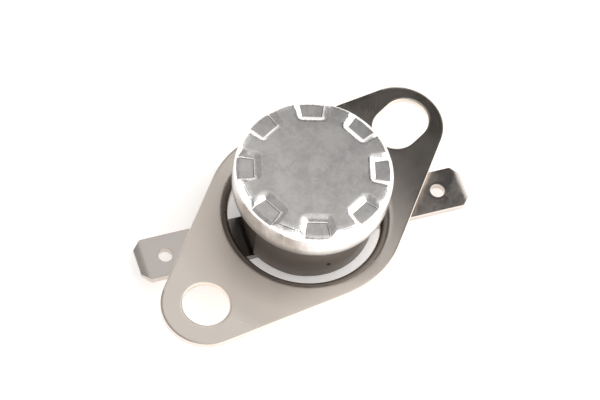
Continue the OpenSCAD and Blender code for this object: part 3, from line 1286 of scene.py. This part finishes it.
@dataclass
class Bracket:
    """Captive sheet bracket with a round hole, a slot and a collar drawn round the base."""

    sheet: float = 0.7
    collar_r: float = 7.82
    bend: float = 1.0
    bend_segments: int = 10
    middle_r: float = 10.1
    end_r: float = 4.55
    strip: float = 0.3
    arc_steps: int = 40
    ring_steps: int = 144
    edging: Edging = Edging(0.07, 2, 50)

    @property
    def bend_r(self) -> float:
        """Radius at which the flat ends, just outside the collar's bend."""
        return self.collar_r + self.bend + self.strip

    def loops(self, bm: Mesh, top: float, inset: float) -> list[list]:
        """Draws the flat's outline, its slot and hole, and the foot of the bend.

        Args:
            bm: Mesh that takes the loops.
            top: Height of the flat.
            inset: Distance of the loops from the flat's real edges.

        Returns:
            The edges of each loop.
        """
        hole, slot = mount("fixing_hole"), mount("fixing_slot")
        hole_x = slot["pos_m"][0] / MM
        hole_r = hole["dims"]["r_mm"] + inset
        run = slot["dims"]["slot_length_mm"] / 2 - slot["dims"]["hole_r_mm"]
        tilt = math.acos((self.middle_r - self.end_r) / hole_x)
        end_r, middle_r = self.end_r - inset, self.middle_r - inset
        steps = self.arc_steps

        def at(x: float) -> Vector:
            """Place on the flat's middle line."""
            return Vector((x, 0, top))

        return [
            link_loop(bm, [
                (at(hole_x), end_r, -tilt, 2 * tilt, steps),
                (at(0), middle_r, tilt, math.pi - 2 * tilt, steps),
                (at(-hole_x), end_r, math.pi - tilt, 2 * tilt, steps),
                (at(0), middle_r, math.pi + tilt, math.pi - 2 * tilt, steps),
            ]),
            link_loop(bm, [
                (at(hole_x + run), hole_r, -QUARTER_TURN, math.pi, steps // 2),
                (at(hole_x - run), hole_r, QUARTER_TURN, math.pi, steps // 2),
            ]),
            circle(bm, at(-hole_x), hole_r, steps),
            circle(bm, at(0), self.bend_r + inset, self.ring_steps),
        ]

    def build(self, paint: Paint) -> None:
        """Builds the upper skin, which gets its thickness from a modifier, and dresses it.

        Args:
            paint: Gives the piece its material.
        """
        low, high = box_mm("bracket")
        top = high.z
        bm = bmesh.new()
        edges = self.loops(bm, top, 0)
        inner = self.loops(bm, top, self.strip)
        for loop, strip in zip(edges, inner):
            bmesh.ops.bridge_loops(bm, edges=[*loop, *strip])
        fill(bm, [e for loop in inner for e in loop])
        collar = bmesh.new()
        draw_section(collar, [
            Corner(self.bend_r, top), Corner(self.collar_r, top, self.bend),
            Corner(self.collar_r, low.z),
        ], closed=False, segments=self.bend_segments)
        revolve(collar, self.ring_steps)
        append(bm, collar)
        weld(bm)
        face_out(bm)
        if max(bm.faces, key=lambda f: f.calc_area()).normal.z < 0:
            bmesh.ops.reverse_faces(bm, faces=bm.faces)
        obj = finished("bracket_sheet", bm, sheet=self.sheet, edging=self.edging)
        paint.place(obj, "bracket", "bracket")


# Blades


@dataclass
class Blade:
    """Flat blade with a rivet hole, a detent hole, cut corners and a lead-in at its tip."""

    side: int
    rivet_x: float
    inner_x: float = 2.0
    tip_x: float = 17.7
    width: float = 4.7
    corner: float = 0.9
    lead: float = 0.9
    lead_edge: float = 0.4
    detent_in: float = 3.0
    detent_r: float = 0.725
    rivet_r: float = 0.74
    hole_sides: int = 32
    edging: Edging = Edging(0.07, 2, 20)

    def draw(self, bm: Mesh, z: float) -> None:
        """Draws the blade's flat face with its holes.

        Args:
            bm: Mesh that takes the face.
            z: Height of the face.
        """
        half, tip, cut = self.width / 2, self.tip_x, self.corner
        points = [
            (self.inner_x, -half), (tip - cut, -half), (tip, cut - half),
            (tip, half - cut), (tip - cut, half), (self.inner_x, half),
        ]
        verts = [bmesh.ops.create_vert(bm, co=(x, y, z))["vert"][0] for x, y in points]
        for a, b in zip(verts, verts[1:] + verts[:1]):
            bm.edges.new((a, b))
        for x, radius in ((self.rivet_x, self.rivet_r), (tip - self.detent_in, self.detent_r)):
            bmesh.ops.create_circle(
                bm, cap_ends=False, segments=self.hole_sides, radius=radius,
                matrix=Matrix.Translation((x, 0, z)),
            )
        fill(bm, bm.edges)
        bmesh.ops.dissolve_limit(bm, angle_limit=NEARLY_FLAT, verts=bm.verts, edges=bm.edges)

    def build(self, paint: Paint) -> None:
        """Builds the blade along X, turns it to its side and dresses it.

        Args:
            paint: Gives the piece its material.
        """
        node = "right_terminal" if self.side > 0 else "left_terminal"
        low, high = box_mm(node)
        thickness = high.z - low.z
        bm = bmesh.new()
        self.draw(bm, low.z)
        lead_x = self.tip_x - self.lead
        cut_faces(bm, X_AXIS * lead_x, X_AXIS, lambda p: True)
        raise_plate(bm, thickness)
        middle = (low.z + high.z) / 2
        thinning = 1 - self.lead_edge / thickness
        for vert in bm.verts:
            share = max(0.0, (vert.co.x - lead_x) / self.lead)
            vert.co.z = middle + (vert.co.z - middle) * (1 - share * thinning)
        if self.side < 0:
            bmesh.ops.scale(bm, vec=(-1, 1, 1), verts=bm.verts)
        face_out(bm)
        turn_to_blades(bm)
        name = node.replace("terminal", "blade")
        paint.place(finished(name, bm, edging=self.edging), node, "terminal")


# Rivets


@dataclass
class Rivet:
    """Hollow rivet with a flat head below and a rolled end above."""

    node: str
    head_r: float = 1.6
    head_t: float = 0.68
    head_edge: float = 0.18
    seat_edge: float = 0.12
    shank_r: float = 0.7
    bore_r: float = 0.4
    formed_r: float = 1.2
    formed_t: float = 0.43
    formed_foot: float = 0.15
    formed_edge: float = 0.24
    mouth_edge: float = 0.2
    steps: int = 64
    segments: int = 5

    def build(self, paint: Paint) -> None:
        """Builds the rivet on its own axis, moves it to its place and dresses it.

        Args:
            paint: Gives the piece its material.
        """
        low, high = box_mm(self.node)
        head_z, formed_z = low.z + self.head_t, high.z - self.formed_t
        bm = turned([
            Corner(self.bore_r, low.z, self.seat_edge), Corner(self.head_r, low.z, self.head_edge),
            Corner(self.head_r, head_z, self.seat_edge), Corner(self.shank_r, head_z),
            Corner(self.shank_r, formed_z), Corner(self.formed_r, formed_z, self.formed_foot),
            Corner(self.formed_r, high.z, self.formed_edge),
            Corner(self.bore_r, high.z, self.mouth_edge),
        ], self.steps, self.segments)
        middle = (low + high) / 2
        bmesh.ops.translate(bm, verts=bm.verts, vec=(middle.x, middle.y, 0))
        paint.place(finished(self.node + "_turned", bm), self.node, "rivet")


# Mechanism


@dataclass
class SpringArm:
    """Leaf between its rivet and the moving contact, which bends as the contact travels."""

    rivet_x: float = -4.0
    contact_x: float = 2.15
    pad_r: Pair = (1.2, 0.85)
    pad_steps: tuple[int, int] = (40, 32)
    hole_r: Pair = (0.74, 0.44)
    hole_steps: int = 28
    neck_w: float = 1.36
    bend_x: Pair = (-2.8, 0.6)
    cuts: int = 18
    sharp: float = 40.0

    def draw(self, bm: Mesh, z: float) -> None:
        """Draws the leaf's flat face with its holes.

        Args:
            bm: Mesh that takes the face.
            z: Height of the face.
        """
        ends = [Vector((x, 0, z)) for x in (self.rivet_x, self.contact_x)]
        joins = [math.asin(self.neck_w / 2 / r) for r in self.pad_r]
        sweeps = [FULL_TURN - 2 * a for a in joins]
        starts = (joins[0], -sweeps[1] / 2)
        link_loop(bm, list(zip(ends, self.pad_r, starts, sweeps, self.pad_steps)))
        for end, radius in zip(ends, self.hole_r):
            circle(bm, end, radius, self.hole_steps)
        fill(bm, bm.edges)

    def build(self, paint: Paint) -> None:
        """Builds the leaf along X, cut across its bend, and turns it to the blades' axis.

        Args:
            paint: Gives the piece its material.
        """
        low, high = box_mm("spring_arm")
        bm = bmesh.new()
        self.draw(bm, low.z)
        start, stop = self.bend_x
        for i in range(self.cuts + 1):
            x = start + (stop - start) * i / self.cuts
            cut_faces(bm, X_AXIS * x, X_AXIS, lambda p: True)
        raise_plate(bm, high.z - low.z)
        face_out(bm)
        turn_to_blades(bm)
        leaf = finished("spring_leaf", bm, sharp=self.sharp)
        paint.dress(leaf, "arm")
        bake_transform(leaf)
        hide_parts("spring_arm")
        paint.modelled.add("spring_arm")
        LOG.info("%s stands for spring_arm", leaf.name)


class Mechanism:
    """The other sealed pieces, which keep their nodes' form and take the record's finishes."""

    def build(self, paint: Paint) -> None:
        """Dresses every node that no modelled piece stands for.

        Args:
            paint: Gives the nodes their materials, and knows which are modelled.
        """
        for part in frame["record"]["subparts"]:
            node, slot = part["node"], part["material_slot"]
            if node not in paint.modelled:
                paint.dress(frame["nodes"][node], slot)
                LOG.info("%s is dressed as %s", node, slot)


# Studio


@dataclass
class Studio:
    """Pale floor, soft light and the camera. Lengths are in millimetres, angles in degrees.

    Brightness of the sky: the shade and the part behind are greyer sides, the top and the front
    are greyer patches overhead and near the camera.
    """

    azimuth: float = -58.6
    elevation: float = 59.6
    roll: float = 12.0
    distance: float = 300.0
    focal_px: float = 2946.0
    image_px: tuple[int, int] = (600, 400)
    aim: tuple[float, float, float] = (0.0, 0.0, 2.4)
    aim_px: Pair = (304.1, 218.0)
    sensor: float = 36.0
    nearest: float = 10.0
    sky: float = 2.4
    horizon: float = 1.8
    horizon_rise: Pair = (0.0, 0.3)
    behind: float = 0.65
    behind_azimuth: float = 45.0
    behind_share: Pair = (0.3, 0.8)
    shade: float = 0.38
    shade_azimuth: float = 125.0
    shade_turn: Pair = (100.0, 62.0)
    shade_rise: Pair = (2.0, 22.0)
    top: float = 0.8
    top_at: Pair = (150.0, 72.0)
    top_reach: Pair = (43.0, 54.0)
    front: float = 0.3
    front_at: Pair = (-132.0, 42.0)
    front_reach: Pair = (12.0, 24.0)
    floor_r: float = 900.0
    floor_color: tuple[float, float, float, float] = (0.93, 0.9, 0.875, 1)
    # Floor glow near the part and far out; the weaker glow near the part is a painted shadow,
    # fading out over the radii below.
    floor_glow: Pair = (0.28, 0.45)
    painted_shadow_r: Pair = (7.0, 13.0)
    card_at: tuple[float, float, float] = (63.0, 22.0, 75.0)
    card_size: Pair = (42.0, 84.0)
    card_glow: float = 0.0

    def staged(self, name: str, bm: Mesh, material: Material) -> Object:
        """Object that belongs to the studio and not to the part.

        Args:
            name: The object's name.
            bm: Its mesh, which is freed.
            material: Its material.

        Returns:
            The new object.
        """
        obj = object_of(name, bm)
        obj.data.materials.append(material)
        return obj

    def build_floor(self) -> None:
        """Lays a white floor that shines and is clear from below.

        Its weaker glow under the part is a painted shadow.
        """
        bm = bmesh.new()
        level = Matrix.Translation((0, 0, CAD_BOX[0].z / MM))
        bmesh.ops.create_circle(bm, cap_ends=True, segments=64, radius=self.floor_r, matrix=level)
        made, g = new_material("pale_floor")
        away = g.vector("LENGTH", g.add("ShaderNodeTexCoord").outputs["Object"])
        # Painted contact shadow: the floor glows less near the part's axis.
        glow = g.between(away, *(r * MM for r in self.painted_shadow_r), *self.floor_glow)
        matt = g.out("ShaderNodeBsdfDiffuse", {"Color": self.floor_color})
        lit = g.out("ShaderNodeAddShader", {0: matt, 1: g.shine(glow)})
        clear = g.out("ShaderNodeBsdfTransparent")
        back = g.add("ShaderNodeNewGeometry").outputs["Backfacing"]
        both = g.out("ShaderNodeMixShader", {0: back, 1: lit, 2: clear})
        g.add("ShaderNodeOutputMaterial", {"Surface": both})
        self.staged("floor", bm, made)

    def build_card(self) -> None:
        """Hangs the dark card that the flat metal mirrors, out of the camera's sight."""
        bm = bmesh.new()
        place = Matrix.Translation(self.card_at) @ Matrix.Diagonal((*self.card_size, 1, 1))
        bmesh.ops.create_grid(bm, x_segments=1, y_segments=1, size=0.5, matrix=place)
        made, g = new_material("dark_card")
        g.add("ShaderNodeOutputMaterial", {"Surface": g.shine(self.card_glow)})
        card = self.staged("dark_card", bm, made)
        card.visible_camera = False
        card.visible_diffuse = False
        card.visible_shadow = False

    def build_sky(self) -> None:
        """Sets a white sky with its greyer sides and patches."""
        world = bpy.data.worlds.new("studio_sky")
        world.use_nodes = True
        bpy.context.scene.world = world
        g = Graph(world.node_tree)
        toward = g.add("ShaderNodeTexCoord").outputs["Generated"]
        height = g.add("ShaderNodeSeparateXYZ", {0: toward}).outputs[2]
        level = g.vector("NORMALIZE", g.vector("MULTIPLY", toward, (1, 1, 0)))

        def patch(at: Pair, reach: Pair) -> Socket:
            """Round patch of the sky.

            Args:
                at: Azimuth and elevation of its middle.
                reach: Radius of its full part and radius at which it ends.

            Returns:
                The patch's share of a direction.
            """
            around, up = (math.radians(v) for v in at)
            flat = math.cos(up)
            middle = (math.cos(around) * flat, math.sin(around) * flat, math.sin(up))
            far, near = (math.cos(math.radians(v)) for v in reversed(reach))
            return g.between(g.vector("DOT_PRODUCT", toward, middle), far, near)

        facing = g.toward(level, self.behind_azimuth)
        behind = g.between(facing, *self.behind_share, 1.0, self.behind)
        turn = (math.cos(math.radians(v)) for v in self.shade_turn)
        rise = (math.sin(math.radians(v)) for v in self.shade_rise)
        side = g.between(g.toward(level, self.shade_azimuth), *turn)
        shaded = g.math("MULTIPLY", side, g.between(height, *rise))
        strength = g.between(height, *self.horizon_rise, self.horizon, self.sky)
        strength = g.math("MULTIPLY", strength, behind)
        strength = g.between(shaded, 0.0, 1.0, strength, self.shade)
        least = g.math("MINIMUM", strength, self.top)
        strength = g.between(patch(self.top_at, self.top_reach), 0.0, 1.0, strength, least)
        front = patch(self.front_at, self.front_reach)
        strength = g.between(front, 0.0, 1.0, strength, self.front)
        back = g.out("ShaderNodeBackground", {"Color": (1, 1, 1, 1), "Strength": strength})
        g.add("ShaderNodeOutputWorld", {"Surface": back})

    def build_camera(self) -> None:
        """Places the camera so that the aimed point falls on its pixel of the image."""
        a, e, roll = (math.radians(v) for v in (self.azimuth, self.elevation, self.roll))
        back = Vector((math.sin(a) * math.cos(e), -math.cos(a) * math.cos(e), math.sin(e)))
        level = Vector((math.cos(a), math.sin(a), 0))
        rising = back.cross(level)
        right = level * math.cos(roll) + rising * math.sin(roll)
        up = rising * math.cos(roll) - level * math.sin(roll)
        width, height = self.image_px
        scale = self.distance / self.focal_px
        across = (self.aim_px[0] - width / 2) * scale
        above = (height / 2 - self.aim_px[1]) * scale
        place = Vector(self.aim) - right * across - up * above + back * self.distance
        data = bpy.data.cameras.new("camera")
        data.sensor_width = self.sensor
        data.lens = self.focal_px * self.sensor / width
        data.clip_start = self.nearest * MM
        camera = bpy.data.objects.new("camera", data)
        bpy.context.scene.collection.objects.link(camera)
        turn = Matrix((right, up, back)).transposed().to_4x4()
        camera.matrix_world = Matrix.Translation(place * MM) @ turn
        bpy.context.scene.camera = camera

    def build(self) -> None:
        """Builds the camera, the floor, the card and the sky."""
        self.build_camera()
        self.build_floor()
        self.build_card()
        self.build_sky()
        bpy.context.scene.view_settings.view_transform = "Standard"
        LOG.info("studio is set")


def main() -> None:
    """Builds the studio and every piece of the part, in order."""
    logging.basicConfig(level=logging.INFO, format="%(name)s: %(message)s")
    Studio().build()
    paint = Paint()
    pieces = [
        Cap(), Base(), Bracket(), Blade(side=-1, rivet_x=4.0), Blade(side=1, rivet_x=4.1),
        Rivet("left_rivet"), Rivet("right_rivet"), SpringArm(), Mechanism(),
    ]
    for piece in pieces:
        piece.build(paint)
        LOG.info("%s is built", type(piece).__name__)


if __name__ == "__main__":
    main()
